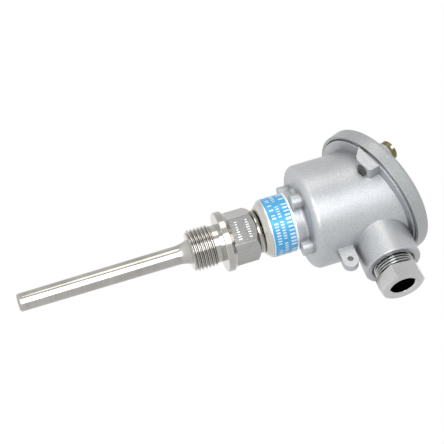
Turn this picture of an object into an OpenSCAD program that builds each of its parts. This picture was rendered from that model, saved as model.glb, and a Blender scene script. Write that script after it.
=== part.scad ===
// Screw-in resistance thermometer: turned thermowell, cast connection head
// with a slanted lid, cable gland and a sprung measuring insert inside.
// Millimetres. The origin is the centre of the collar's sealing face,
// +Z runs along the probe to the head and +X points out of the cable entry.

/* [Thermowell] */
// Length from the sealing face to the tip
immersion = 102; // [60:1:300]
// Stem diameter at the tip
stem_tip_d = 9; // [8.6:0.1:10]
// Stem diameter where the flare starts
stem_root_d = 9.5; // [9:0.1:11]
// Rounding of the tip's edge
tip_round = 1.2; // [0.4:0.1:1.5]
// Solid metal below the bore
tip_wall = 3; // [2:0.5:6]
// Radius of the flare that runs out to the thread
flare_r = 15.7; // [8:0.1:20]
// Diameter at the wide end of the flare
flare_d = 12.6; // [12:0.1:15]
// Major diameter of the process thread (G 1/2)
thread_d = 20.955; // [20:0.005:22]
// Thread and undercut together, up to the sealing face
thread_len = 15.8; // [12:0.1:20]
// Chamfer at the start of the thread
thread_chamfer = 1.2; // [0.5:0.1:1.5]
// Diameter of the undercut below the collar
undercut_d = 18.7; // [17:0.1:19]
// Width of the undercut
undercut_w = 3.6; // [2:0.1:5]
// Collar diameter
collar_d = 30.2; // [27:0.1:34]
// Thickness of the collar's cylindrical rim
collar_t = 3.2; // [2:0.1:5]
// Height of the cone from the collar up to the hexagon
collar_cone = 2; // [1:0.1:3]
// Fine chamfer on the collar's rim
collar_edge = 0.4; // [0.1:0.1:0.8]
// Hexagon across flats
hex_af = 24; // [23:0.5:26]
// Length of the hexagon, with its end chamfer
hex_len = 12.6; // [8:0.1:20]
// Height of the hexagon's end chamfer
hex_chamfer = 2.2; // [1:0.1:3]
// Diameter at the small end of that chamfer
hex_end_d = 22.8; // [22.4:0.1:23]
// Turn of the hexagon about the probe's axis
hex_turn = 17; // [0:1:59]
// Diameter of the nipple that screws into the head (M22)
nipple_d = 22; // [21:0.1:23]
// Length of nipple left bare below the head
nipple_bare = 2.7; // [1:0.1:10]
// Length of nipple screwed into the head
nipple_grip = 12; // [8:0.5:14]
// Width of the relief groove beside the hexagon
nipple_groove = 1; // [0.5:0.1:1.5]
// Depth of the relief groove
nipple_groove_depth = 0.7; // [0.3:0.1:1]

/* [Head casting] */
// Diameter of the neck
neck_d = 29; // [28:0.1:32]
// Chamfer at the neck's end, along the axis
neck_chamfer = 2.6; // [1:0.1:4]
// Neck length from its end face to the underside of the floor
neck_len = 21; // [18:0.1:30]
// Fillet between neck and floor
neck_fillet = 1.5; // [0.5:0.1:2]
// Body diameter
body_d = 52.6; // [51:0.1:60]
// Wall thickness
wall = 2.5; // [2:0.1:3.2]
// Floor thickness
floor_t = 3.5; // [3:0.1:5]
// Rounding between the floor and the wall, outside
body_round = 4; // [1:0.1:5]
// Height on the axis from the underside of the floor to the lid's lower edge
body_h = 37.8; // [37:0.1:45]
// Slant of the lid
slant = 21.5; // [15:0.5:23]
// Diameter of the passage from the neck to the chamber
passage_d = 16; // [12:0.5:18]
// Diameter of the insert screw bosses under the floor
screw_boss_d = 7.8; // [7:0.1:9]
// Length of those bosses
screw_boss_len = 5; // [3:0.1:7]
// Spacing of the insert screws
insert_spacing = 33; // [32:0.5:34]

/* [Lid] */
// How far the lid stands out past the body, all round
lid_over = 8.4; // [7.7:0.1:10]
// Height of the lid's rim
lid_h = 7.8; // [7:0.1:10]
// Shift of the lid down its slant from the body's axis
lid_shift = 1.4; // [0:0.1:2]
// Rounding of the lid's upper edge
lid_round = 2.2; // [1:0.1:2.4]
// Rise of the lid's crown at its centre
lid_crown = 1.2; // [0.5:0.1:3]
// Thickness of the lid's skirt
skirt_t = 1.6; // [1.2:0.1:2]
// Gap between the skirt and the body's flange
skirt_gap = 0.5; // [0.3:0.1:0.8]
// Thickness of the body's flange
flange_t = 4; // [3:0.1:5]
// How far the flange stands below the lid's lower edge
flange_drop = 1.1; // [0.5:0.1:2]
// Gasket thickness
gasket_t = 1.5; // [1:0.1:1.8]
// Depth of the hollow in the lid's underside
lid_hollow = 1; // [0.5:0.1:1.5]
// Distance of the lid screws from the flange's edge
lid_screw_edge = 4; // [3.8:0.1:4.2]
// Lid screw diameter (M6)
lid_screw_d = 6; // [5:0.5:6]
// Head diameter of the lid screws
lid_screw_head_d = 10; // [9:0.1:10.4]
// Head height of the lid screws
lid_screw_head_h = 3.5; // [3:0.1:4]
// How far the lid screws stand out below their lugs
lid_screw_stick = 0.8; // [0.2:0.1:2]
// Thickness of the lid screws' washers
washer_t = 0.8; // [0.5:0.1:1]
// Height of the pads under the lid screws
pad_h = 0.6; // [0.3:0.1:1]
// Pad diameter
pad_d = 11; // [10.6:0.1:11.6]
// Height of the lugs under the flange
lug_h = 5.9; // [4:0.1:8]
// Metal left between a lid screw and its lug's outer face
lug_wall = 1.6; // [1.2:0.1:2]
// Metal left between a lid screw and its lug's sides
lug_side = 2; // [1.5:0.1:3]
// Chamfer on the lugs' lower edges
lug_edge = 1.2; // [0.5:0.1:1.5]

/* [Cable entry and gland] */
// Distance of the entry's axis below the lid's edge, on the probe's axis
entry_drop = 4.5; // [3.5:0.1:6]
// Diameter of the entry boss
entry_d = 28.4; // [26:0.1:29]
// How far the entry boss stands out from the body
entry_out = 14; // [12:0.1:20]
// Rounding of the mouth's rim
entry_round = 0.8; // [0.3:0.1:1.2]
// Thread of the entry (M20)
entry_thread_d = 20; // [19:0.5:20]
// Depth of the entry's thread, down to the shoulder that the seal sits on
seat_depth = 14.3; // [13.5:0.1:15]
// Opening behind the seal
seat_d = 15; // [12:0.5:16]
// Length of gland thread left bare outside the mouth
gland_bare = 5.2; // [4:0.1:8]
// Length of gland thread inside the mouth
gland_grip = 7.5; // [6:0.1:8]
// Gland hexagon across flats
gland_af = 21; // [20.5:0.5:24]
// Length of the gland hexagon
gland_hex_len = 7.3; // [5:0.1:10]
// Height of the chamfer on the hexagon's corners
gland_hex_chamfer = 1.5; // [0.5:0.1:2]
// Gland bore
gland_bore_d = 12.4; // [10:0.1:13]
// Width of the chamfer in the gland's mouth
gland_mouth = 0.7; // [0.3:0.1:1]
// Turn of the gland hexagon about its axis
gland_turn = 52; // [0:1:59]
// Seal thickness along the axis
seal_t = 4; // [3:0.1:5]
// Seal bore
seal_bore_d = 9; // [6:0.5:11]
// Thrust washer thickness
gland_washer_t = 1; // [0.8:0.1:1.2]

/* [Seal tab] */
// Width of the tab along the probe's axis
tab_w = 7.8; // [6:0.1:10]
// How far the tab stands out from the body
tab_out = 10.7; // [8:0.1:14]
// Tab thickness
tab_t = 4.5; // [3:0.1:6]
// Height of the tab's middle above the underside of the floor
tab_rise = 13.9; // [12:0.1:14.5]
// Offset of the tab's middle from the entry's plane
tab_y = -2.6; // [-4:0.1:4]
// Hole in the tab
tab_hole_d = 2.8; // [2:0.1:4]

/* [Name band] */
// Width of the band round the neck
band_w = 12.6; // [8:0.1:12.8]
// Band thickness
band_t = 0.2; // [0.1:0.05:0.4]
// Bare metal between the neck's chamfer and the band
band_gap = 0.5; // [0.2:0.1:1]

/* [Measuring insert] */
// Sheath diameter
sheath_d = 6; // [5:0.5:6]
// Sheath wall
sheath_wall = 0.6; // [0.5:0.1:0.8]
// Gap between the sheath and the thermowell's bore, all round
sheath_gap = 0.5; // [0.3:0.1:0.8]
// Length of the platinum element
element_len = 12; // [8:1:20]
// Element diameter
element_d = 2.8; // [2:0.1:3]
// Diameter of a lead wire
lead_d = 0.6; // [0.4:0.1:0.8]
// Flange plate diameter
plate_d = 42; // [41.5:0.5:42]
// Flange plate thickness
plate_t = 1.5; // [1:0.1:2]
// Height of the flange plate above the chamber floor
plate_lift = 4; // [2:0.1:5]
// Insert screw diameter (M4)
insert_screw_d = 4; // [3.5:0.5:4]
// Head diameter of the insert screws
insert_head_d = 7; // [6.5:0.1:7.5]
// Head height of the insert screws
insert_head_h = 2.6; // [2:0.1:3]
// Diameter of the ceramic block
block_d = 41; // [40:0.5:42]
// Height of the ceramic block
block_h = 10; // [8:0.5:11]
// Hole through the middle of the block, for the leads
block_hole_d = 8; // [6:0.1:8]
// Room round each spring in the block
spring_room = 1.1; // [0.6:0.1:1.2]
// Mean diameter of the springs
spring_d = 6; // [5.6:0.1:6.4]
// Spring wire diameter
spring_wire = 0.9; // [0.6:0.1:1]
// Working coils of each spring
spring_coils = 6; // [4:1:8]
// Compressed length of each spring
spring_len = 13.7; // [12:0.1:15]

/* [Terminals] */
// Distance of the terminal screws from the entry's cross plane
terminal_x = 12; // [11.5:0.1:12.5]
// Half the spacing between neighbouring terminals
terminal_y = 5.5; // [5:0.1:6]
// Width of a terminal bar
bar_w = 6.5; // [6:0.1:7]
// Length of a terminal bar
bar_len = 12; // [11.5:0.1:12.5]
// Thickness of a terminal bar
bar_t = 3; // [2.5:0.1:4]
// Depth of a bar's pocket in the ceramic
pocket = 1; // [0.5:0.1:1.5]
// Terminal screw diameter (M3.5)
clamp_screw_d = 3.5; // [3:0.1:4]
// Terminal screw head diameter
clamp_head_d = 6.2; // [5.5:0.1:6.4]
// Terminal screw head height
clamp_head_h = 2.2; // [1.8:0.1:2.6]
// Thickness of the plate under each terminal screw
clamp_t = 1; // [0.6:0.1:1.4]
// Diameter of the eyelet that each lead ends in
eyelet_d = 2; // [1.6:0.1:2.4]
// Distance of the eyelets from the entry's cross plane
eyelet_x = 5; // [4.8:0.1:5.2]
// Height of the ceramic walls between terminals
barrier_h = 3; // [2:0.1:5]
// Thickness of those walls
barrier_t = 1.6; // [1.2:0.1:2]

/* [Hidden] */
$fn = 96;
eps = 0.01;

// Clearances between pieces
thread_fit = 0.03;     // between a screw and its thread, all round
hole_fit = 0.3;        // between a screw and a plain hole, all round
sleeve_fit = 0.04;     // between pieces that are pushed together
washer_fit = 0.2;      // between a washer and its screw, all round
well_fit = 1;          // between the ends of pieces that pass each other

// Thermowell heights
tip_z = -immersion;
bore_bottom = tip_z + tip_wall;
bore_d = sheath_d + 2 * sheath_gap;
thread_z = -thread_len;
flare_rise = (flare_d - stem_root_d) / 2;
flare_z = thread_z - sqrt(pow(flare_r, 2) - pow(flare_r - flare_rise, 2));
hex_z = collar_t + collar_cone;
hex_end = hex_z + hex_len;
neck_z = hex_end + nipple_bare;
nipple_end = neck_z + nipple_grip;
corner = 2 / sqrt(3);  // across corners over across flats
cone_land = 0.6;       // step from the collar's cone to the hexagon's corners
nipple_chamfer = 1;
lead_in = 1.5;         // length of the bore's lead-in cone

// Head heights and radii
floor_z = neck_z + neck_len;
chamber_z = floor_z + floor_t;
joint_z = floor_z + body_h;
body_r = body_d / 2;
chamber_r = body_r - wall;
insert_r = insert_spacing / 2;
tab_x = body_r + tab_out;
tab_z = floor_z + tab_rise;
tab_hole_in = 0.6;     // from the middle of the tab's round end in to its hole
tab_hole_x = tab_x - tab_w / 2 - tab_hole_in;
entry_x = body_r + entry_out;
entry_z = joint_z - entry_drop;
seat_x = entry_x - seat_depth;
screw_hole_end = 2;    // metal below the insert screw holes
screw_hole_depth = screw_boss_len + floor_t - screw_hole_end;

// Levels above the lid's lower edge, square to the slant
lid_d = body_d + 2 * lid_over;
flange_r = lid_d / 2 - skirt_t - skirt_gap;
flange_top = flange_t - flange_drop;
lid_inside = flange_top + gasket_t;
gasket_edge = 0.2;     // from the flange's rim in to the gasket's
gasket_lip = 0.5;      // from the chamber's wall out to the gasket's inner edge
pad_top = lid_h + pad_h;
lid_screw_r = flange_r - lid_screw_edge;
lid_washer_d = lid_screw_head_d - 1;
lug_bottom = -flange_drop - lug_h;
lug_y = lid_screw_r + lid_screw_d / 2 + lug_wall;

// Gland positions along X
gland_lead = 1;        // start of its thread
entry_lead = 1;        // chamfer in the entry's mouth
gland_play = 0.5;      // between the thrust washer and the entry's thread
gland_tip = entry_x - gland_grip;
gland_hex_x = entry_x + gland_bare;
gland_end = gland_hex_x + gland_hex_len;

// Insert levels
sheath_tip = bore_bottom;
plate_z = chamber_z + plate_lift;
block_z = plate_z + plate_t;
block_top = block_z + block_h;
bar_z = block_top - pocket;
bar_top = bar_z + bar_t;
bar_end = 3.5;         // from a terminal screw out to its bar's end
bar_middle = terminal_x + bar_end - bar_len / 2;
head_z = block_z + spring_len + washer_t;
lead_r = 1.3;          // of the ring that the four leads stand on
sheath_end = 1.5;      // metal in the sheath's closed end
element_z = sheath_tip + sheath_end + 1;
clamp_reach = 2;       // how far a terminal screw stands out below its bar
clamp_in = 0.15;       // from the sides of a bar in to the plate on it
arch_rise = 1.2;       // of a lead above the bars before it turns over
eyelet_lip = 0.4;      // width of an eyelet's rim
eyelet_lip_t = 0.5;
eyelet_depth = 1.2;    // of the hole in an eyelet
lead_dip = 1;          // how far a lead goes down into it
spring_seat = 0.4;     // from a spring out to the edge of its washer
terminal_places = [[1, 1], [-1, 1], [-1, -1], [1, -1]];

// ---- Shared shapes ----

// Waste outside a rounded corner: corner at the origin, material to -x and +y
module corner_waste(r) {
    difference() {
        translate([-r, -1]) square([r + 1, r + 1]);
        translate([-r, r]) circle(r);
    }
}

// Places things in the lid's own frame: its lower edge is the plane z = 0
module on_slant() {
    translate([0, 0, joint_z]) rotate([0, -slant, 0]) translate([-lid_shift, 0, 0]) children();
}

// Places things in the entry's frame: z runs out of the entry
module on_entry() {
    translate([0, 0, entry_z]) rotate([0, 90, 0]) children();
}

// Ring or washer from z = 0 up
module ring(outer, inner, t) {
    difference() {
        cylinder(d = outer, h = t);
        translate([0, 0, -1]) cylinder(d = inner, h = t + 2);
    }
}

// Slotted cheese-head screw: the head stands on z = 0 and the shank hangs below
module slotted_screw(d, head_d, head_h, length) {
    slot_w = 0.16 * head_d;
    slot_depth = head_h / 2;
    difference() {
        union() {
            rotate_extrude() difference() {
                square([head_d / 2, head_h]);
                translate([head_d / 2, head_h]) mirror([0, 1]) corner_waste(head_h / 5);
            }
            translate([0, 0, -length + d / 8]) cylinder(d = d, h = length - d / 8 + eps);
            translate([0, 0, -length]) cylinder(d1 = 0.75 * d, d2 = d, h = d / 8);
        }
        translate([-head_d, -slot_w / 2, head_h - slot_depth]) cube([2 * head_d, slot_w, head_h]);
    }
}

// Helical wire from z = 0 to z = h with closed end coils, by sweeping a small ring
function coil_z(t, turns, wire, h) =
    let(u = t * turns)
    wire / 2 + (u < 1 ? u * wire
        : u > turns - 1 ? h - wire - (turns - u) * wire
        : wire + (u - 1) / (turns - 2) * (h - 3 * wire));
module coil(mean_d, wire, turns, h, steps = 14, sides = 6) {
    n = turns * steps;
    points = [for (i = [0 : n]) let(a = 360 * i / steps, z = coil_z(i / n, turns, wire, h))
        for (j = [0 : sides - 1]) let(b = 360 * j / sides, r = mean_d / 2 + wire / 2 * cos(b))
            [r * cos(a), r * sin(a), z + wire / 2 * sin(b)]];
    faces = concat(
        [[for (j = [0 : sides - 1]) j]],
        [for (i = [0 : n - 1], j = [0 : sides - 1])
            let(k = (j + 1) % sides)
            [i * sides + j, (i + 1) * sides + j, (i + 1) * sides + k, i * sides + k]],
        [[for (j = [sides - 1 : -1 : 0]) n * sides + j]]);
    polyhedron(points, faces, convexity = 6);
}

// ---- Thermowell: one turned piece ----

module thermowell_profile() {
    tip_r = stem_tip_d / 2;
    difference() {
        union() {
            // stem with its rounded tip
            difference() {
                polygon([[0, tip_z], [tip_r, tip_z], [stem_root_d / 2, flare_z],
                         [stem_root_d / 2, thread_z + eps], [0, thread_z + eps]]);
                translate([tip_r, tip_z]) corner_waste(tip_round);
            }
            // flare
            difference() {
                translate([0, flare_z]) square([flare_d / 2, thread_z - flare_z + eps]);
                translate([stem_root_d / 2 + flare_r, flare_z]) circle(flare_r, $fn = 360);
            }
            // thread, undercut, collar, cone and nipple
            polygon([
                [0, thread_z],
                [thread_d / 2 - thread_chamfer, thread_z],
                [thread_d / 2, thread_z + thread_chamfer],
                [thread_d / 2, -undercut_w - (thread_d - undercut_d) / 2],
                [undercut_d / 2, -undercut_w],
                [undercut_d / 2, 0],
                [collar_d / 2 - collar_edge, 0],
                [collar_d / 2, collar_edge],
                [collar_d / 2, collar_t],
                [hex_af * corner / 2 - cone_land, hex_z],
                [hex_end_d / 2, hex_z],
                [hex_end_d / 2, hex_end],
                [nipple_d / 2 - nipple_groove_depth, hex_end],
                [nipple_d / 2 - nipple_groove_depth, hex_end + nipple_groove],
                [nipple_d / 2, hex_end + nipple_groove],
                [nipple_d / 2, nipple_end - nipple_chamfer],
                [nipple_d / 2 - nipple_chamfer, nipple_end],
                [0, nipple_end]]);
        }
        // bore, opened by a lead-in at the top
        translate([0, bore_bottom]) square([bore_d / 2, nipple_end - bore_bottom + 1]);
        polygon([[0, nipple_end - lead_in], [bore_d / 2, nipple_end - lead_in],
                 [bore_d / 2 + 2 * lead_in, nipple_end + lead_in], [0, nipple_end + lead_in]]);
    }
}

module thermowell() {
    color("lightgray") union() {
        rotate_extrude() thermowell_profile();
        // hexagon with its end turned to a cone
        difference() {
            intersection() {
                rotate([0, 0, hex_turn]) translate([0, 0, collar_t])
                    cylinder(d = hex_af * corner, h = hex_end - collar_t, $fn = 6);
                union() {
                    translate([0, 0, collar_t])
                        cylinder(d = hex_af * corner + 0.1, h = hex_end - hex_chamfer - collar_t);
                    translate([0, 0, hex_end - hex_chamfer - eps])
                        cylinder(d1 = hex_af * corner, d2 = hex_end_d, h = hex_chamfer + eps);
                }
            }
            // the bore stays clear
            translate([0, 0, -1]) cylinder(d = bore_d + 2, h = hex_end + 2);
        }
    }
}

// ---- Head casting ----

module body_profile() {
    top = joint_z + body_r;
    difference() {
        union() {
            polygon([
                [nipple_d / 2 - nipple_chamfer, neck_z],
                [neck_d / 2 - neck_chamfer, neck_z],
                [neck_d / 2, neck_z + neck_chamfer],
                [neck_d / 2, floor_z + eps],
                [nipple_d / 2 - nipple_chamfer, floor_z + eps]]);
            translate([0, floor_z]) square([body_r, top - floor_z]);
            // fillet from the neck into the floor
            translate([neck_d / 2, floor_z]) difference() {
                translate([-eps, -neck_fillet]) square([neck_fillet + eps, neck_fillet + eps]);
                translate([neck_fillet, -neck_fillet]) circle(neck_fillet);
            }
        }
        translate([body_r, floor_z]) corner_waste(body_round);
    }
}

// Lug below the flange that takes a lid screw, drawn across the slant
module lug() {
    half = lid_screw_d / 2 + lug_side;
    translate([0, lug_y, 0]) rotate([90, 0, 0]) linear_extrude(height = lug_y - chamber_r - wall / 2)
        polygon([[-half - 2 * lug_side, -flange_drop + eps], [half + lug_edge / 2, -flange_drop + eps],
                 [half, lug_bottom + lug_edge], [half - lug_edge, lug_bottom],
                 [-half + lug_edge, lug_bottom], [-half - lug_edge / 2, lug_bottom + lug_edge]]);
}

module tab() {
    end_r = tab_w / 2;
    root_x = body_r - wall / 2;
    translate([0, tab_y + tab_t / 2, tab_z]) rotate([90, 0, 0]) difference() {
        union() {
            translate([root_x, -end_r, 0]) cube([tab_x - end_r - root_x, tab_w, tab_t]);
            translate([tab_x - end_r, 0, 0]) cylinder(d = tab_w, h = tab_t);
        }
        translate([tab_hole_x, 0, -1]) cylinder(d = tab_hole_d, h = tab_t + 2);
    }
}

module entry_boss() {
    on_entry() rotate_extrude() difference() {
        translate([0, chamber_r / 2]) square([entry_d / 2, entry_x - chamber_r / 2]);
        translate([entry_d / 2, entry_x]) mirror([0, 1]) corner_waste(entry_round);
    }
}

module head_body() {
    color("gainsboro") difference() {
        union() {
            difference() {
                union() {
                    rotate_extrude() body_profile();
                    for (a = [0 : 90 : 270]) rotate([0, 0, a])
                        translate([insert_r, 0, floor_z - screw_boss_len])
                            cylinder(d = screw_boss_d, h = screw_boss_len + 1);
                    entry_boss();
                }
                // everything above the flange's face
                on_slant() translate([-2 * lid_d, -2 * lid_d, flange_top])
                    cube([4 * lid_d, 4 * lid_d, 2 * lid_d]);
            }
            on_slant() {
                translate([0, 0, -flange_drop]) cylinder(r = flange_r, h = flange_t);
                lug();
                mirror([0, 1, 0]) lug();
            }
            tab();
        }
        // terminal chamber, passage and nipple thread
        translate([0, 0, chamber_z]) cylinder(r = chamber_r, h = joint_z);
        translate([0, 0, nipple_end]) cylinder(d = passage_d, h = floor_z);
        translate([0, 0, neck_z - 1]) cylinder(d = nipple_d + 2 * thread_fit, h = nipple_grip + 2);
        // insert screw holes, blind, in the two bosses across the entry
        for (side = [-1, 1]) translate([0, side * insert_r, chamber_z - screw_hole_depth])
            cylinder(d = insert_screw_d + 2 * thread_fit, h = screw_hole_depth + 1);
        // lid screw holes
        on_slant() for (side = [-1, 1]) translate([0, side * lid_screw_r, lug_bottom - 1])
            cylinder(d = lid_screw_d + 2 * thread_fit, h = 2 * flange_t + lug_h);
        // cable entry: thread, lead-in chamfer and the opening behind the seal
        on_entry() {
            translate([0, 0, seat_x]) cylinder(d = entry_thread_d + 2 * thread_fit, h = entry_x);
            translate([0, 0, entry_x - entry_lead])
                cylinder(d1 = entry_thread_d, d2 = entry_thread_d + 2.4 * entry_lead, h = entry_lead + eps);
            translate([0, 0, chamber_r / 2]) cylinder(d = seat_d, h = entry_x);
        }
    }
}

module neck_band() {
    color("steelblue") translate([0, 0, neck_z + neck_chamfer + band_gap])
        ring(neck_d + 2 * (sleeve_fit + band_t), neck_d + 2 * sleeve_fit, band_w);
}

// ---- Lid ----

module lid_profile() {
    lid_r = lid_d / 2;
    crown_r = lid_r - 3 * lid_round;
    hollow_r = chamber_r - 1;
    ball = (pow(crown_r, 2) + pow(lid_crown, 2)) / (2 * lid_crown);
    difference() {
        union() {
            difference() {
                square([lid_r, lid_h]);
                translate([lid_r, lid_h]) mirror([0, 1]) corner_waste(lid_round);
            }
            // shallow crown
            intersection() {
                translate([0, lid_h + lid_crown - ball]) circle(ball, $fn = 360);
                translate([0, lid_h - 1]) square([crown_r, lid_crown + 2]);
            }
        }
        translate([-1, -1]) square([lid_r - skirt_t + 1, lid_inside + 1]);
        translate([-1, 0]) square([hollow_r + 1, lid_inside + lid_hollow]);
    }
}

module lid() {
    color("silver") on_slant() difference() {
        union() {
            rotate_extrude() lid_profile();
            for (side = [-1, 1]) translate([0, side * lid_screw_r, lid_inside])
                cylinder(d = pad_d, h = pad_top - lid_inside);
        }
        for (side = [-1, 1]) translate([0, side * lid_screw_r, 0]) {
            cylinder(d = lid_screw_d + 2 * hole_fit, h = 3 * lid_h);
            translate([0, 0, pad_top - washer_t]) cylinder(d = lid_washer_d + 2 * hole_fit, h = lid_h);
        }
    }
}

module lid_gasket() {
    color("dimgray") difference() {
        on_slant() translate([0, 0, flange_top]) difference() {
            cylinder(r = flange_r - gasket_edge, h = gasket_t);
            for (side = [-1, 1]) translate([0, side * lid_screw_r, -1])
                cylinder(d = lid_screw_d + 2 * washer_fit, h = gasket_t + 2);
        }
        translate([0, 0, chamber_z]) cylinder(r = chamber_r + gasket_lip, h = joint_z);
    }
}

module lid_screw(side) {
    color("goldenrod") on_slant() translate([0, side * lid_screw_r, pad_top])
        rotate([0, 0, 30]) slotted_screw(lid_screw_d, lid_screw_head_d, lid_screw_head_h,
                                         pad_top - lug_bottom + lid_screw_stick);
}
module lid_screw_front() { lid_screw(-1); }
module lid_screw_back() { lid_screw(1); }

module lid_washer(side) {
    color("gray") on_slant() translate([0, side * lid_screw_r, pad_top - washer_t])
        ring(lid_washer_d, lid_screw_d + 2 * washer_fit, washer_t);
}
module lid_washer_front() { lid_washer(-1); }
module lid_washer_back() { lid_washer(1); }

// ---- Gland: hollow hexagon screw, thrust washer and rubber ring ----

module gland_screw() {
    color("lightgray") on_entry() difference() {
        union() {
            translate([0, 0, gland_tip])
                cylinder(d1 = entry_thread_d - 2 * gland_lead, d2 = entry_thread_d, h = gland_lead);
            translate([0, 0, gland_tip + gland_lead])
                cylinder(d = entry_thread_d, h = gland_hex_x - gland_tip - gland_lead + eps);
            intersection() {
                translate([0, 0, gland_hex_x]) rotate([0, 0, gland_turn])
                    cylinder(d = gland_af * corner, h = gland_hex_len, $fn = 6);
                union() {
                    translate([0, 0, gland_hex_x])
                        cylinder(d = gland_af * corner + 0.1, h = gland_hex_len - gland_hex_chamfer);
                    translate([0, 0, gland_end - gland_hex_chamfer - eps])
                        cylinder(d1 = gland_af * corner, d2 = gland_af - 0.4 * gland_hex_chamfer,
                                 h = gland_hex_chamfer + eps);
                }
            }
        }
        translate([0, 0, gland_tip - 1]) cylinder(d = gland_bore_d, h = gland_end);
        translate([0, 0, gland_end - gland_mouth])
            cylinder(d1 = gland_bore_d, d2 = gland_bore_d + 2 * gland_mouth + 0.2, h = gland_mouth + 0.1);
    }
}

module gland_washer() {
    color("gray") on_entry() translate([0, 0, gland_tip - gland_washer_t])
        ring(entry_thread_d - 2 * gland_play, gland_bore_d, gland_washer_t);
}

module gland_seal() {
    color("dimgray") on_entry() translate([0, 0, seat_x])
        ring(entry_thread_d - 2 * hole_fit, seal_bore_d, seal_t);
}

// ---- Measuring insert ----

module sheath_tube() {
    r = sheath_d / 2;
    color("silver") rotate_extrude() difference() {
        translate([0, sheath_tip]) square([r, block_z - sheath_tip]);
        translate([r, sheath_tip]) corner_waste(sheath_end / 1.5);
        translate([-1, sheath_tip + sheath_end]) square([r - sheath_wall + 1, block_z - sheath_tip]);
    }
}

module lead_places() {
    for (p = terminal_places) {
        a = atan2(p[1] * terminal_y, p[0] * eyelet_x);
        rotate([0, 0, a]) translate([lead_r, 0, 0]) children();
    }
}

module sheath_filling() {
    fill_z = element_z + element_len;
    color("white") difference() {
        translate([0, 0, fill_z]) cylinder(d = sheath_d - 2 * sheath_wall - 2 * sleeve_fit,
                                           h = block_z - fill_z);
        lead_places() translate([0, 0, fill_z - 1])
            cylinder(d = lead_d + 2 * sleeve_fit, h = block_z - fill_z + 2);
    }
}

module sensing_element() {
    color("ivory") translate([0, 0, element_z]) cylinder(d = element_d, h = element_len);
}

// Four leads: up through the filling, then over in an arch to the eyelets
module lead_wires() {
    eyelet_reach = norm([eyelet_x, terminal_y]);
    arch_r = (eyelet_reach - lead_r) / 2;
    arch_z = bar_top + arch_rise;
    start = element_z + element_len;
    color("gold") for (p = terminal_places)
        rotate([0, 0, atan2(p[1] * terminal_y, p[0] * eyelet_x)]) {
            translate([lead_r, 0, start]) cylinder(d = lead_d, h = arch_z - start, $fn = 24);
            translate([lead_r + arch_r, 0, arch_z]) rotate([90, 0, 0])
                rotate_extrude(angle = 180) translate([arch_r, 0]) circle(d = lead_d, $fn = 24);
            translate([eyelet_reach, 0, bar_top - lead_dip])
                cylinder(d = lead_d, h = arch_z - bar_top + lead_dip, $fn = 24);
        }
}

module insert_flange() {
    color("silver") translate([0, 0, plate_z]) difference() {
        cylinder(d = plate_d, h = plate_t);
        translate([0, 0, -1]) cylinder(d = sheath_d + 2 * sleeve_fit, h = plate_t + 2);
        for (side = [-1, 1]) translate([0, side * insert_r, -1])
            cylinder(d = insert_screw_d + 2 * hole_fit, h = plate_t + 2);
    }
}

module terminal_block() {
    notch_d = spring_d + spring_wire + 2 * spring_room;
    color("ivory") difference() {
        union() {
            translate([0, 0, block_z]) cylinder(d = block_d, h = block_h);
            // walls between the terminals
            for (side = [-1, 1])
                translate([side > 0 ? eyelet_x : -eyelet_x - bar_len, -barrier_t / 2, block_top - eps])
                    cube([bar_len, barrier_t, barrier_h]);
        }
        translate([0, 0, block_z - 1]) cylinder(d = block_hole_d, h = block_h + 2);
        for (side = [-1, 1]) {
            translate([0, side * insert_r, block_z - 1]) cylinder(d = notch_d, h = block_h + 2);
            translate([-notch_d / 2, side > 0 ? insert_r : -insert_r - block_d, block_z - 1])
                cube([notch_d, block_d, block_h + 2]);
        }
        for (p = terminal_places) {
            translate([p[0] * terminal_x, p[1] * terminal_y, bar_z - clamp_reach - well_fit])
                cylinder(d = clamp_screw_d + 1, h = block_h);
            translate([p[0] * bar_middle, p[1] * terminal_y, bar_z + block_h / 2])
                cube([bar_len + 2 * sleeve_fit, bar_w + 2 * sleeve_fit, block_h], center = true);
        }
    }
}

module terminal_bars() {
    color("goldenrod") for (p = terminal_places)
        translate([p[0] * bar_middle, p[1] * terminal_y, bar_z]) difference() {
            translate([-bar_len / 2, -bar_w / 2, 0]) cube([bar_len, bar_w, bar_t]);
            translate([p[0] * (terminal_x - bar_middle), 0, -1])
                cylinder(d = clamp_screw_d + 2 * thread_fit, h = bar_t + 2);
            translate([p[0] * (eyelet_x - bar_middle), 0, -1]) cylinder(d = eyelet_d, h = bar_t + 2);
        }
}

module lead_eyelets() {
    color("silver") for (p = terminal_places)
        translate([p[0] * eyelet_x, p[1] * terminal_y, bar_z]) difference() {
            union() {
                cylinder(d = eyelet_d - 2 * sleeve_fit, h = bar_t);
                translate([0, 0, bar_t]) cylinder(d = eyelet_d + 2 * eyelet_lip, h = eyelet_lip_t);
            }
            translate([0, 0, bar_t - eyelet_depth])
                cylinder(d = lead_d + 2 * sleeve_fit, h = eyelet_depth + 2 * eyelet_lip_t);
        }
}

module clamp_plates() {
    size = bar_w - 2 * clamp_in;
    color("silver") for (p = terminal_places)
        translate([p[0] * terminal_x, p[1] * terminal_y, bar_top]) difference() {
            translate([-size / 2, -size / 2, 0]) cube([size, size, clamp_t]);
            translate([0, 0, -1]) cylinder(d = clamp_screw_d + 2 * washer_fit, h = clamp_t + 2);
        }
}

module terminal_screw(i) {
    p = terminal_places[i - 1];
    color("goldenrod") translate([p[0] * terminal_x, p[1] * terminal_y, bar_top + clamp_t])
        rotate([0, 0, 35 * i]) slotted_screw(clamp_screw_d, clamp_head_d, clamp_head_h,
                                            clamp_t + bar_t + clamp_reach);
}
module terminal_screw_1() { terminal_screw(1); }
module terminal_screw_2() { terminal_screw(2); }
module terminal_screw_3() { terminal_screw(3); }
module terminal_screw_4() { terminal_screw(4); }

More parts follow.
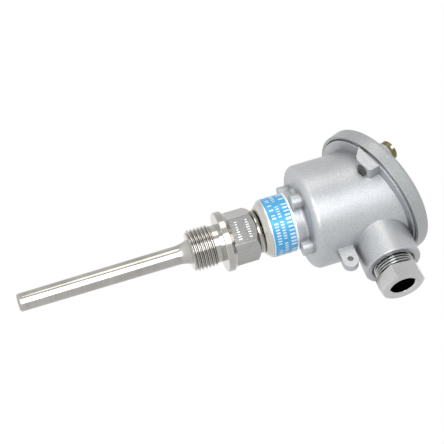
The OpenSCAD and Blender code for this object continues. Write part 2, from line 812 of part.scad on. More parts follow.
module insert_screws() {
    color("silver") for (side = [-1, 1]) translate([0, side * insert_r, head_z])
        rotate([0, 0, 20 * side]) slotted_screw(insert_screw_d, insert_head_d, insert_head_h,
                                                head_z - chamber_z + screw_hole_depth - well_fit);
}

module insert_springs() {
    color("lightgray") for (side = [-1, 1]) translate([0, side * insert_r, block_z])
        coil(spring_d, spring_wire, spring_coils + 2, spring_len);
}

module spring_washers() {
    color("silver") for (side = [-1, 1]) translate([0, side * insert_r, head_z - washer_t])
        ring(spring_d + spring_wire + 2 * spring_seat, insert_screw_d + 2 * washer_fit, washer_t);
}

thermowell();
head_body();
neck_band();
lid();
lid_gasket();
lid_screw_front();
lid_screw_back();
lid_washer_front();
lid_washer_back();
gland_screw();
gland_washer();
gland_seal();
sheath_tube();
sheath_filling();
sensing_element();
lead_wires();
insert_flange();
terminal_block();
terminal_bars();
lead_eyelets();
clamp_plates();
terminal_screw_1();
terminal_screw_2();
terminal_screw_3();
terminal_screw_4();
insert_screws();
insert_springs();
spring_washers();
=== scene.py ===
import math

import bpy
import numpy as np
from mathutils import Matrix, Vector


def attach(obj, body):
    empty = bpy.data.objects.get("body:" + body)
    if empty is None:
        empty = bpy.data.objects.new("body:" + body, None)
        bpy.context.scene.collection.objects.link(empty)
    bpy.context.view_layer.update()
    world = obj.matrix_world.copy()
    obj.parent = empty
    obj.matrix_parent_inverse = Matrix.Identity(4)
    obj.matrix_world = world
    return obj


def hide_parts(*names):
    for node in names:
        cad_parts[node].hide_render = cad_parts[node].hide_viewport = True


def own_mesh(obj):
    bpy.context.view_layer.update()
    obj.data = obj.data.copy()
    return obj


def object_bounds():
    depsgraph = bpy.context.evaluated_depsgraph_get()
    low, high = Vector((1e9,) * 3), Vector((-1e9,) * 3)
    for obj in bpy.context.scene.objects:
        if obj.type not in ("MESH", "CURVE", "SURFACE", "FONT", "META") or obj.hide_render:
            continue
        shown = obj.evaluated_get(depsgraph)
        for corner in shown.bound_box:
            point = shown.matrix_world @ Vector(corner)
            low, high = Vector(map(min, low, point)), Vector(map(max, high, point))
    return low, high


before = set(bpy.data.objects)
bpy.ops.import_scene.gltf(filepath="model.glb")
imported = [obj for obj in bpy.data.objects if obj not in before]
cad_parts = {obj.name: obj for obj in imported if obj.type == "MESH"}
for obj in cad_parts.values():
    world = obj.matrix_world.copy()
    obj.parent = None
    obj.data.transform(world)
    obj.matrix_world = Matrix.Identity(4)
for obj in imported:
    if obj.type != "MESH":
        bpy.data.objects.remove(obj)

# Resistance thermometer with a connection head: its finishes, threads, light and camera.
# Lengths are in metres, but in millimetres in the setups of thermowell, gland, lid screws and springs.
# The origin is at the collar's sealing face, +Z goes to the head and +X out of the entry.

cadBox = [list(corner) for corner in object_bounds()]
mm = 0.001
plainWhite = (1, 1, 1, 1)
print("frame loaded")

cameraSetup = {
    "place": (0.348362, -0.581266, -0.100122),
    "aim": (-0.007968, -0.004926, 0.003870),
    "roll": 73.3876,      # degrees, from level
    "lens": 113.51,       # millimetres
    "sensor": 36,         # millimetres across
    "clip": (0.01, 50),   # nearest and farthest that it sees
}

studio = {
    "floorDrop": 0.060,   # floor below the probe's tip
    "floorSize": 6.0,
    "floorColor": (0.86, 0.86, 0.86, 1),
    "floorGlow": 0.80,    # share of the floor's white that shadow can't take
    "fill": (0.80, 0.80, 0.80, 1),      # what matt surfaces get from the room
    "fillStrength": 0.49,
}

lamps = {
    # name: shares of its direction to the viewer, the view's top and right, then distance, size,
    # watts and colour
    "keyLamp": (1.00, 0.10, -0.10, 0.75, 0.80, 7.6, (0.97, 0.985, 1.0)),
    "topLamp": (0.45, 1.00, -0.10, 0.80, 0.40, 0.8, (1.0, 0.95, 0.85)),
}


# the camera's right, up and back: level axes round the line of sight, turned by the roll
def cameraAxes(setup):
    ahead = (Vector(setup["aim"]) - Vector(setup["place"])).normalized()
    level = ahead.cross(Vector((0, 0, 1))).normalized()
    upright = level.cross(ahead)
    turn = math.radians(setup["roll"])
    right = level * math.cos(turn) + upright * math.sin(turn)
    up = upright * math.cos(turn) - level * math.sin(turn)
    return right, up, -ahead


def placeByAxes(obj, right, up, back, place):
    matrix = Matrix((right, up, back)).transposed().to_4x4()
    matrix.translation = place
    obj.matrix_world = matrix


def addCamera(setup):
    data = bpy.data.cameras.new("camera")
    data.sensor_width = setup["sensor"]
    data.lens = setup["lens"]
    data.clip_start, data.clip_end = setup["clip"]
    camera = bpy.data.objects.new("camera", data)
    bpy.context.scene.collection.objects.link(camera)
    placeByAxes(camera, *cameraAxes(setup), Vector(setup["place"]))
    bpy.context.scene.camera = camera


# round soft lamps, each aimed at the object from a direction given along the camera's axes
def addLamps(setup, places):
    right, up, back = cameraAxes(setup)
    for name, (toViewer, toTop, toRight, distance, size, watts, color) in places.items():
        data = bpy.data.lights.new(name, "AREA")
        data.shape = "DISK"
        data.size = size
        data.energy = watts
        data.color = color
        lamp = bpy.data.objects.new(name, data)
        bpy.context.scene.collection.objects.link(lamp)
        away = (back * toViewer + up * toTop + right * toRight).normalized()
        side = away.cross(Vector((0, 0, 1))).normalized()
        placeByAxes(lamp, side, away.cross(side), away, away * distance)


# a shader node with its settings, and each input linked to a socket or set to a value
def addNode(tree, kind, inputs=None, **settings):
    made = tree.nodes.new(kind)
    for key, value in settings.items():
        setattr(made, key, value)
    for key, value in (inputs or {}).items():
        if isinstance(value, bpy.types.NodeSocket):
            tree.links.new(value, made.inputs[key])
        else:
            made.inputs[key].default_value = value
    return made


def addRamp(tree, fac, stops):
    ramp = addNode(tree, "ShaderNodeValToRGB", {"Fac": fac})
    marks = ramp.color_ramp.elements
    while len(marks) < len(stops):
        marks.new(1.0)
    for mark, (position, color) in zip(marks, stops):
        mark.position = position
        mark.color = color
    return ramp.outputs["Color"]


def mixColors(tree, fac, first, second, blend="MIX"):
    made = addNode(tree, "ShaderNodeMix", {"Factor": fac}, data_type="RGBA", blend_type=blend)
    for index, value in ((6, first), (7, second)):
        if isinstance(value, bpy.types.NodeSocket):
            tree.links.new(value, made.inputs[index])
        else:
            made.inputs[index].default_value = value
    return made.outputs[2]


def doMath(tree, operation, *values):
    made = addNode(tree, "ShaderNodeMath", dict(enumerate(values)), operation=operation)
    return made.outputs[0]


# 1 for rays from the viewer and for those that leave metal or glass, 0 for the light on matt surfaces
def seenDirectly(tree):
    path = addNode(tree, "ShaderNodeLightPath").outputs
    shiny = doMath(tree, "MAXIMUM", path["Is Glossy Ray"], path["Is Transmission Ray"])
    return doMath(tree, "MAXIMUM", path["Is Camera Ray"], shiny)


# White where it is seen, directly or in metal, and an even grey for matt surfaces.
def setWorld(setup):
    world = bpy.data.worlds.new("room")
    bpy.context.scene.world = world
    world.use_nodes = True
    tree = world.node_tree
    tree.nodes.clear()
    fill = {"Color": setup["fill"], "Strength": setup["fillStrength"]}
    matt = addNode(tree, "ShaderNodeBackground", fill).outputs[0]
    white = addNode(tree, "ShaderNodeBackground", {"Color": plainWhite, "Strength": 1.0}).outputs[0]
    both = addNode(tree, "ShaderNodeMixShader", {0: seenDirectly(tree), 1: matt, 2: white}).outputs[0]
    addNode(tree, "ShaderNodeOutputWorld", {"Surface": both})


# A flat pale floor that keeps the shadow; where it is seen, part of its white is its own.
def addFloor(setup):
    low = cadBox[0][2] - setup["floorDrop"]
    half = setup["floorSize"] / 2
    corners = [(-half, -half, low), (half, -half, low), (half, half, low), (-half, half, low)]
    mesh = bpy.data.meshes.new("floor")
    mesh.from_pydata(corners, [], [(0, 1, 2, 3)])
    floor = bpy.data.objects.new("floor", mesh)
    bpy.context.scene.collection.objects.link(floor)
    material = bpy.data.materials.new("paleFloor")
    material.use_nodes = True
    tree = material.node_tree
    tree.nodes.clear()
    paint = addNode(tree, "ShaderNodeBsdfDiffuse", {"Color": setup["floorColor"]}).outputs[0]
    own = {"Color": plainWhite, "Strength": setup["floorGlow"]}
    glow = addNode(tree, "ShaderNodeEmission", own).outputs[0]
    both = addNode(tree, "ShaderNodeAddShader", {0: paint, 1: glow}).outputs[0]
    seen = addNode(tree, "ShaderNodeMixShader", {0: seenDirectly(tree), 1: paint, 2: both}).outputs[0]
    addNode(tree, "ShaderNodeOutputMaterial", {"Surface": seen})
    mesh.materials.append(material)


addCamera(cameraSetup)
setWorld(studio)
addLamps(cameraSetup, lamps)
addFloor(studio)
bpy.context.scene.view_settings.view_transform = "Standard"
print("camera, light and floor ready")


def newMaterial(name):
    material = bpy.data.materials.new(name)
    material.use_nodes = True
    tree = material.node_tree
    return material, tree, tree.nodes["Principled BSDF"]


metalDetail = {
    "edgeFrom": 0.995, "edgeTo": 0.80,       # likeness of the two normals where the paler edge, partly wear and partly painted highlight, starts and is full
    "cornerShut": 0.15, "cornerOpen": 0.75,  # open share of the sky where the painted shade is full and where it ends
    "samples": 6,
    "driftSpan": (0.30, 0.70), "grainSpan": (0.35, 0.65), "roughSpan": (0.3, 0.7), "grainDarkest": 0.25,
    "ringStretch": (0.2, 0.2, 9.0), "ringScale": 320.0, "ringSpan": (0.3, 0.7),
    "ringRough": (0.14, 0.10),               # least roughness of the rings, and how much they add
}

# what a finish has where it says nothing else
plainMetal = {
    "stretch": (1, 1, 1), "driftScale": 60.0, "speckle": 0.10, "edge": 0.25 * mm, "wearAndHighlight": 0.5,
    "cornerShade": 0.55, "cornerShadeReach": 1.5 * mm, "bump": 0.2, "bumpDepth": 0.05 * mm, "metal": 1.0,
}


# noise at a point, near 0.5 on average
def noise(tree, vector, scale, detail, **inputs):
    values = {"Vector": vector, "Scale": scale, "Detail": detail, **inputs}
    return addNode(tree, "ShaderNodeTexNoise", values).outputs["Fac"]


# straight line from the first span to the second, held at its ends
def mapRange(tree, value, start, end):
    values = {"Value": value, "From Min": start[0], "From Max": start[1], "To Min": end[0], "To Max": end[1]}
    return addNode(tree, "ShaderNodeMapRange", values, clamp=True).outputs["Result"]


# bump on top of the given normal, or of the surface's own
def addBump(tree, height, strength, distance, normal=None, **settings):
    inputs = {"Height": height, "Strength": strength, "Distance": distance}
    if normal is not None:
        inputs["Normal"] = normal
    return addNode(tree, "ShaderNodeBump", inputs, **settings).outputs["Normal"]


# near 1 on edges: how far a normal rounded over the radius turns from the face's own
def edgeMask(tree, radius):
    samples = metalDetail["samples"]
    rounded = addNode(tree, "ShaderNodeBevel", {"Radius": radius}, samples=samples).outputs["Normal"]
    plain = addNode(tree, "ShaderNodeNewGeometry").outputs["Normal"]
    both = {0: rounded, 1: plain}
    alike = addNode(tree, "ShaderNodeVectorMath", both, operation="DOT_PRODUCT").outputs["Value"]
    return rounded, mapRange(tree, alike, (metalDetail["edgeFrom"], metalDetail["edgeTo"]), (0.0, 1.0))


# Metal or other hard finish: broad colour drift, fine grain in colour, roughness and bump, paler edges
# (partly wear, partly painted highlight) and corners darkened as painted shade. Stretch draws the grain
# out along the axes. Below the height turnedBelow the piece is turned bright, with fine rings across the
# axis.
def metalFinish(name, ownLook):
    look = {**plainMetal, **ownLook}
    detail = metalDetail
    material, tree, shader = newMaterial(name)
    place = addNode(tree, "ShaderNodeTexCoord").outputs["Object"]
    drawn = addNode(tree, "ShaderNodeMapping", {"Vector": place, "Scale": look["stretch"]}).outputs[0]
    broad = noise(tree, place, look["driftScale"], 3.0)
    grain = noise(tree, drawn, look["grainScale"], 4.0, Roughness=0.6)
    low, high = detail["driftSpan"]
    drift = addRamp(tree, broad, [(low, look["dark"]), (high, look["light"])])
    low, high = detail["grainSpan"]
    darkest = (detail["grainDarkest"],) * 3 + (1,)
    specks = addRamp(tree, grain, [(low, darkest), (high, plainWhite)])
    speckled = mixColors(tree, look["speckle"], drift, specks, "MULTIPLY")
    # paler edges: partly wear, partly a painted highlight where light catches the rounded edge
    normal, wornAndLitEdge = edgeMask(tree, look["edge"])
    wearAndHighlight = doMath(tree, "MULTIPLY", wornAndLitEdge, look["wearAndHighlight"])
    edged = mixColors(tree, wearAndHighlight, speckled, look["wornAndLitEdge"])
    # painted shade: the colour is darkened where ambient occlusion finds corners and recesses
    corner = addNode(tree, "ShaderNodeAmbientOcclusion", {"Distance": look["cornerShadeReach"]},
                     samples=detail["samples"]).outputs["AO"]
    openness = mapRange(tree, corner, (detail["cornerShut"], detail["cornerOpen"]), (look["cornerShade"], 1.0))
    shade = addNode(tree, "ShaderNodeCombineColor", {0: openness, 1: openness, 2: openness}).outputs[0]
    color = mixColors(tree, 1.0, edged, shade, "MULTIPLY")
    rough = mapRange(tree, grain, detail["roughSpan"], (look["smoothest"], look["roughest"]))
    bump = addBump(tree, grain, look["bump"], look["bumpDepth"], normal=normal)
    shader.inputs["Metallic"].default_value = look["metal"]
    if "turnedBelow" in look:
        height = addNode(tree, "ShaderNodeSeparateXYZ", {0: place}).outputs["Z"]
        turned = doMath(tree, "LESS_THAN", height, look["turnedBelow"])
        stretched = {"Vector": place, "Scale": detail["ringStretch"]}
        rings = addNode(tree, "ShaderNodeMapping", stretched).outputs[0]
        rings = noise(tree, rings, detail["ringScale"], 2.0)
        low, high = detail["ringSpan"]
        bright = addRamp(tree, rings, [(low, look["turnedDark"]), (high, look["turnedLight"])])
        color = mixColors(tree, turned, color, bright)
        least, added = detail["ringRough"]
        shine = doMath(tree, "MULTIPLY_ADD", rings, added, least)
        rough = addNode(tree, "ShaderNodeMix", {0: turned, 2: rough, 3: shine}).outputs[0]
    tree.links.new(color, shader.inputs["Base Color"])
    tree.links.new(rough, shader.inputs["Roughness"])
    tree.links.new(bump, shader.inputs["Normal"])
    return material


finishes = {
    "castAluminium": {
        "dark": (0.50, 0.515, 0.535, 1), "light": (0.56, 0.575, 0.595, 1),
        "wornAndLitEdge": (0.66, 0.675, 0.69, 1), "grainScale": 1700.0, "driftScale": 45.0, "speckle": 0.32,
        "smoothest": 0.32, "roughest": 0.44, "metal": 0.55, "bump": 0.30, "bumpDepth": 0.04 * mm,
        "edge": 0.45 * mm, "wearAndHighlight": 0.7, "cornerShade": 0.50, "cornerShadeReach": 6 * mm, "turnedBelow": 23.1 * mm,
        "turnedDark": (0.46, 0.44, 0.40, 1), "turnedLight": (0.62, 0.60, 0.56, 1),
    },
    "lidAluminium": {
        "dark": (0.42, 0.435, 0.44, 1), "light": (0.48, 0.495, 0.50, 1), "wornAndLitEdge": (0.64, 0.65, 0.66, 1),
        "grainScale": 1500.0, "driftScale": 40.0, "speckle": 0.32, "smoothest": 0.34, "roughest": 0.46,
        "metal": 0.55, "bump": 0.34, "bumpDepth": 0.04 * mm, "edge": 0.4 * mm, "wearAndHighlight": 0.8,
        "cornerShade": 0.6, "cornerShadeReach": 2.5 * mm,
    },
    "turnedSteel": {
        "dark": (0.36, 0.35, 0.33, 1), "light": (0.48, 0.465, 0.44, 1), "wornAndLitEdge": (0.66, 0.65, 0.63, 1),
        "grainScale": 260.0, "stretch": (0.25, 0.25, 8.0), "speckle": 0.14, "smoothest": 0.07,
        "roughest": 0.15, "bump": 0.10, "bumpDepth": 0.02 * mm, "edge": 0.15 * mm, "cornerShade": 0.92,
        "cornerShadeReach": 1.2 * mm,
    },
    "milledSteel": {
        "dark": (0.34, 0.34, 0.335, 1), "light": (0.44, 0.44, 0.43, 1), "wornAndLitEdge": (0.66, 0.65, 0.63, 1),
        "grainScale": 240.0, "stretch": (7.0, 7.0, 0.3), "speckle": 0.16, "smoothest": 0.05,
        "roughest": 0.12, "bump": 0.10, "bumpDepth": 0.015 * mm, "edge": 0.15 * mm, "cornerShade": 0.75,
    },
    "nickelPlate": {
        "dark": (0.44, 0.445, 0.44, 1), "light": (0.54, 0.545, 0.54, 1), "wornAndLitEdge": (0.74, 0.74, 0.72, 1),
        "grainScale": 700.0, "speckle": 0.06, "smoothest": 0.05, "roughest": 0.12, "bump": 0.06,
        "bumpDepth": 0.02 * mm, "edge": 0.2 * mm, "wearAndHighlight": 0.8, "cornerShade": 0.20, "cornerShadeReach": 1.5 * mm,
    },
    "dullBrass": {
        "dark": (0.12, 0.10, 0.05, 1), "light": (0.26, 0.215, 0.11, 1), "wornAndLitEdge": (0.60, 0.53, 0.32, 1),
        "grainScale": 900.0, "speckle": 0.25, "smoothest": 0.16, "roughest": 0.32, "bump": 0.2,
        "edge": 0.15 * mm, "cornerShade": 0.25,
    },
    "darkSteel": {
        "dark": (0.05, 0.05, 0.045, 1), "light": (0.11, 0.105, 0.09, 1), "wornAndLitEdge": (0.62, 0.60, 0.50, 1),
        "grainScale": 900.0, "speckle": 0.2, "smoothest": 0.16, "roughest": 0.30, "bump": 0.15,
        "edge": 0.12 * mm, "wearAndHighlight": 0.6, "cornerShade": 0.3,
    },
    "terminalBrass": {
        "dark": (0.62, 0.46, 0.20, 1), "light": (0.74, 0.58, 0.28, 1), "wornAndLitEdge": (0.86, 0.74, 0.45, 1),
        "grainScale": 900.0, "speckle": 0.12, "smoothest": 0.18, "roughest": 0.32, "bump": 0.12,
        "edge": 0.12 * mm, "cornerShade": 0.4,
    },
    "zincSteel": {
        "dark": (0.52, 0.53, 0.55, 1), "light": (0.64, 0.65, 0.66, 1), "wornAndLitEdge": (0.80, 0.80, 0.80, 1),
        "grainScale": 900.0, "speckle": 0.14, "smoothest": 0.25, "roughest": 0.40, "bump": 0.15,
        "edge": 0.12 * mm, "cornerShade": 0.4,
    },
    "springSteel": {
        "dark": (0.38, 0.38, 0.39, 1), "light": (0.50, 0.50, 0.51, 1), "wornAndLitEdge": (0.70, 0.70, 0.70, 1),
        "grainScale": 1200.0, "speckle": 0.12, "smoothest": 0.22, "roughest": 0.36, "bump": 0.1,
        "edge": 0.05 * mm, "cornerShade": 0.4,
    },
    "leadWire": {
        "dark": (0.62, 0.55, 0.40, 1), "light": (0.74, 0.67, 0.50, 1), "wornAndLitEdge": (0.85, 0.80, 0.65, 1),
        "grainScale": 1500.0, "speckle": 0.1, "smoothest": 0.2, "roughest": 0.35, "bump": 0.08,
        "edge": 0.05 * mm, "cornerShade": 0.5,
    },
    "blackRubber": {
        "dark": (0.018, 0.018, 0.019, 1), "light": (0.034, 0.034, 0.035, 1),
        "wornAndLitEdge": (0.07, 0.07, 0.07, 1), "grainScale": 1400.0, "speckle": 0.3, "smoothest": 0.55,
        "roughest": 0.8, "bump": 0.3, "metal": 0.0, "edge": 0.2 * mm, "cornerShade": 0.6,
    },
    "ivoryCeramic": {
        "dark": (0.66, 0.60, 0.48, 1), "light": (0.76, 0.71, 0.60, 1), "wornAndLitEdge": (0.82, 0.79, 0.70, 1),
        "grainScale": 1200.0, "speckle": 0.14, "smoothest": 0.35, "roughest": 0.55, "bump": 0.22,
        "metal": 0.0, "edge": 0.25 * mm, "cornerShade": 0.55,
    },
    "whitePowder": {
        "dark": (0.66, 0.65, 0.62, 1), "light": (0.78, 0.77, 0.74, 1), "wornAndLitEdge": (0.8, 0.8, 0.78, 1),
        "grainScale": 1800.0, "speckle": 0.2, "smoothest": 0.7, "roughest": 0.9, "bump": 0.4,
        "metal": 0.0, "edge": 0.1 * mm, "cornerShade": 0.7,
    },
}
looks = {name: metalFinish(name, look) for name, look in finishes.items()}


bandLook = {
    "low": 23.6 * mm, "width": 12.6 * mm, "radius": 14.74 * mm,
    "borders": (0.4 * mm, 1.1 * mm),         # bare foil below and above the print
    "blue": (0.050, 0.37, 0.72, 1), "blueWorn": (0.085, 0.45, 0.80, 1),
    "foil": (0.86, 0.87, 0.89, 1), "mark": (0.86, 0.93, 0.98, 1),
    # each row of bars: height of its middle, how high they stand, their pitch, the thinnest and the thickest
    "rows": [(3.0 * mm, 2.0 * mm, 1.5 * mm, 0.45 * mm, 1.0 * mm),
             (6.0 * mm, 1.7 * mm, 1.4 * mm, 0.40 * mm, 0.9 * mm),
             (9.8 * mm, 2.6 * mm, 2.0 * mm, 0.55 * mm, 1.4 * mm)],
    "empty": 0.14,                           # share of the cells with no bar
    "rowSeed": 17.0,                         # sets each row's chances apart
    "ink": (0.60, 0.5),                      # least cover of the bars, and how much the grain adds
    "broadScale": 220.0, "fineScale": 2200.0, "span": (0.3, 0.7), "rough": (0.24, 0.38),
    "bump": 0.12, "bumpDepth": 0.03 * mm,
    "metalLoss": 0.85,                       # how much less metallic the print is than bare foil
}


# a random number between 0 and 1 for each whole number below the cell
def cellChance(tree, cell, seed):
    whole = doMath(tree, "ADD", doMath(tree, "FLOOR", cell), seed)
    return addNode(tree, "ShaderNodeTexWhiteNoise", {"W": whole}, noise_dimensions="1D").outputs["Value"]


# Printed foil: blue between two bare borders, with rows of plain bars. A point's place round the band is
# its angle times the radius, cut into cells; each holds nothing or one upright bar of a random thickness.
def bandFinish(look):
    material, tree, shader = newMaterial("printedBand")
    place = addNode(tree, "ShaderNodeTexCoord").outputs["Object"]
    parts = addNode(tree, "ShaderNodeSeparateXYZ", {0: place}).outputs
    along = doMath(tree, "MULTIPLY", doMath(tree, "ARCTAN2", parts["Y"], parts["X"]), look["radius"])
    up = doMath(tree, "SUBTRACT", parts["Z"], look["low"])
    inside = doMath(tree, "MULTIPLY", doMath(tree, "GREATER_THAN", up, look["borders"][0]),
                    doMath(tree, "LESS_THAN", up, look["width"] - look["borders"][1]))
    marks = 0.0
    for index, (level, height, pitch, thinnest, thickest) in enumerate(look["rows"]):
        rise = doMath(tree, "ABSOLUTE", doMath(tree, "SUBTRACT", up, level))
        cell = doMath(tree, "DIVIDE", along, pitch)
        chance = cellChance(tree, cell, look["rowSeed"] * index)
        offset = doMath(tree, "MULTIPLY_ADD", doMath(tree, "FRACT", cell), pitch, -pitch / 2)
        across = doMath(tree, "ABSOLUTE", offset)
        half = doMath(tree, "MULTIPLY_ADD", chance, (thickest - thinnest) / 2, thinnest / 2)
        bar = doMath(tree, "MULTIPLY", doMath(tree, "LESS_THAN", across, half),
                     doMath(tree, "LESS_THAN", rise, height / 2))
        bar = doMath(tree, "MULTIPLY", bar, doMath(tree, "GREATER_THAN", chance, look["empty"]))
        marks = doMath(tree, "MAXIMUM", marks, bar)
    broad = noise(tree, place, look["broadScale"], 4.0)
    fine = noise(tree, place, look["fineScale"], 3.0)
    blue = addRamp(tree, broad, [(look["span"][0], look["blue"]), (look["span"][1], look["blueWorn"])])
    least, added = look["ink"]
    faded = doMath(tree, "MULTIPLY", marks, doMath(tree, "MULTIPLY_ADD", fine, added, least))
    printed = mixColors(tree, faded, blue, look["mark"])
    color = mixColors(tree, inside, look["foil"], printed)
    rough = mapRange(tree, fine, look["span"], look["rough"])
    bump = addBump(tree, doMath(tree, "ADD", fine, marks), look["bump"], look["bumpDepth"])
    tree.links.new(color, shader.inputs["Base Color"])
    tree.links.new(rough, shader.inputs["Roughness"])
    tree.links.new(bump, shader.inputs["Normal"])
    metal = doMath(tree, "MULTIPLY_ADD", inside, -look["metalLoss"], 1.0)
    tree.links.new(metal, shader.inputs["Metallic"])
    return material


looks["printedBand"] = bandFinish(bandLook)

cadFinishes = {
    "head_body": "castAluminium", "neck_band": "printedBand",
    "lid": "lidAluminium", "lid_gasket": "blackRubber",
    "lid_screw_front": "dullBrass", "lid_screw_back": "dullBrass",
    "lid_washer_front": "dullBrass", "lid_washer_back": "dullBrass",
    "gland_washer": "nickelPlate", "gland_seal": "blackRubber",
    "sheath_tube": "turnedSteel", "sheath_filling": "whitePowder", "sensing_element": "ivoryCeramic",
    "lead_wires": "leadWire", "insert_flange": "zincSteel", "terminal_block": "ivoryCeramic",
    "terminal_bars": "terminalBrass", "lead_eyelets": "zincSteel", "clamp_plates": "zincSteel",
    "terminal_screw_1": "terminalBrass", "terminal_screw_2": "terminalBrass",
    "terminal_screw_3": "terminalBrass", "terminal_screw_4": "terminalBrass",
    "insert_screws": "zincSteel", "insert_springs": "springSteel", "spring_washers": "zincSteel",
}
for nodeName, finish in cadFinishes.items():
    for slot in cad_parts[nodeName].material_slots:
        slot.material = looks[finish]
print("finishes on the carried-over pieces")


# The skin of a grid of points: rows along the piece and columns round it, each row joined to the next,
# and the end rows closed to a pole at their middle where wanted.
def gridSkin(points, caps=(True, True)):
    rows, count = points.shape[:2]
    flat = points.reshape(-1, 3)
    start = np.arange(rows - 1)[:, None] * count
    step = np.arange(count)[None, :]
    after = (step + 1) % count
    quads = np.stack([start + step, start + after, start + count + after, start + count + step], axis=-1)
    faces = quads.reshape(-1, 4).tolist()
    for wanted, row, flip in ((caps[0], 0, True), (caps[1], rows - 1, False)):
        if wanted:
            pole = np.full(count, len(flat))
            flat = np.vstack([flat, points[row].mean(axis=0)])
            first = row * count + step[0]
            second = row * count + after[0]
            fan = np.stack([second, first, pole] if flip else [first, second, pole], axis=-1)
            faces += fan.tolist()
    return flat, faces


# a turned skin: point (i, j) stands at radius radii[i, j] and height heights[i, j] in direction angles[j]
def latheSkin(radii, heights, angles, caps=(True, True)):
    return gridSkin(np.stack([radii * np.cos(angles), radii * np.sin(angles), heights], axis=-1), caps)


# one object from closed skins that stay apart or sink into each other, put in place by toPlace
def makePiece(name, skins, toPlace=None):
    points = np.vstack([flat for flat, faces in skins])
    starts = np.cumsum([0] + [len(flat) for flat, faces in skins])
    faces = [[start + index for index in face] for start, (flat, own) in zip(starts, skins) for face in own]
    mesh = bpy.data.meshes.new(name)
    mesh.from_pydata((points if toPlace is None else toPlace(points)).tolist(), [], faces)
    mesh.validate()
    mesh.update()
    obj = bpy.data.objects.new(name, mesh)
    bpy.context.scene.collection.objects.link(obj)
    return obj


# each face's normal and middle, as rows
def facePlaces(mesh):
    normals = np.empty(len(mesh.polygons) * 3)
    centres = np.empty(len(mesh.polygons) * 3)
    mesh.polygons.foreach_get("normal", normals)
    mesh.polygons.foreach_get("center", centres)
    return normals.reshape(-1, 3), centres.reshape(-1, 3)


# smooth shading that keeps edges sharper than the angle
def smoothByAngle(obj, degrees=30.0):
    obj.data.polygons.foreach_set("use_smooth", np.ones(len(obj.data.polygons), dtype=bool))
    obj.data.set_sharp_from_angle(angle=math.radians(degrees))


threadProfile = {"crestFlat": 0.22, "flank": 0.62}    # shares of half a pitch; the rest is the root's flat


# Radius over a right-hand thread: a trapezium wave of the given depth below the crest, in the phase
# height over pitch less angle over a full turn, with short flats at crest and root.
def threadRadius(heights, angles, crest, pitch, depth):
    phase = (heights / pitch - angles / (2 * math.pi)) % 1.0
    flank = np.abs(2 * phase - 1)
    return crest - depth * np.clip((flank - threadProfile["crestFlat"]) / threadProfile["flank"], 0, 1)


# distance of a hexagon's side: half the width across flats over the cosine from the flat's middle
def hexRadius(angles, acrossFlats, turn):
    return acrossFlats / 2 / np.cos((angles - turn) % (math.pi / 3) - math.pi / 6)


def spread(first, last, count):
    return np.linspace(first, last, count)


thermowellSetup = {
    "tip": -102.0, "tipRadius": 4.5, "tipRound": 1.2,
    "rootRadius": 4.75, "flareRadius": 15.7, "flareEnd": 6.3,
    "threadStart": -15.8, "threadRadius": 10.4775, "threadPitch": 1.8143, "threadDepth": 1.10, "chamfer": 1.2,
    "undercut": 9.35, "undercutTop": -3.6,
    "collarRadius": 15.1, "collarRim": 3.2, "collarEdge": 0.4, "coneTop": 5.2, "coneRadius": 13.256,
    "hexFlats": 24.0, "hexTurn": 17.0, "hexEnd": 17.8, "hexChamfer": 2.2, "hexEndRadius": 11.4,
    "nipple": 11.0, "nippleGroove": 0.7, "grooveWidth": 1.0,
    "nippleThread": 20.6, "nippleEnd": 32.5, "nippleChamfer": 1.0, "nipplePitch": 1.5, "nippleDepth": 0.85,
    "bore": 3.5, "boreBottom": -99.0, "leadIn": 1.5,
    "flatOutside": 11.9,      # faces of the hexagon stand further out than this
    "around": 252, "smooth": 24,
}


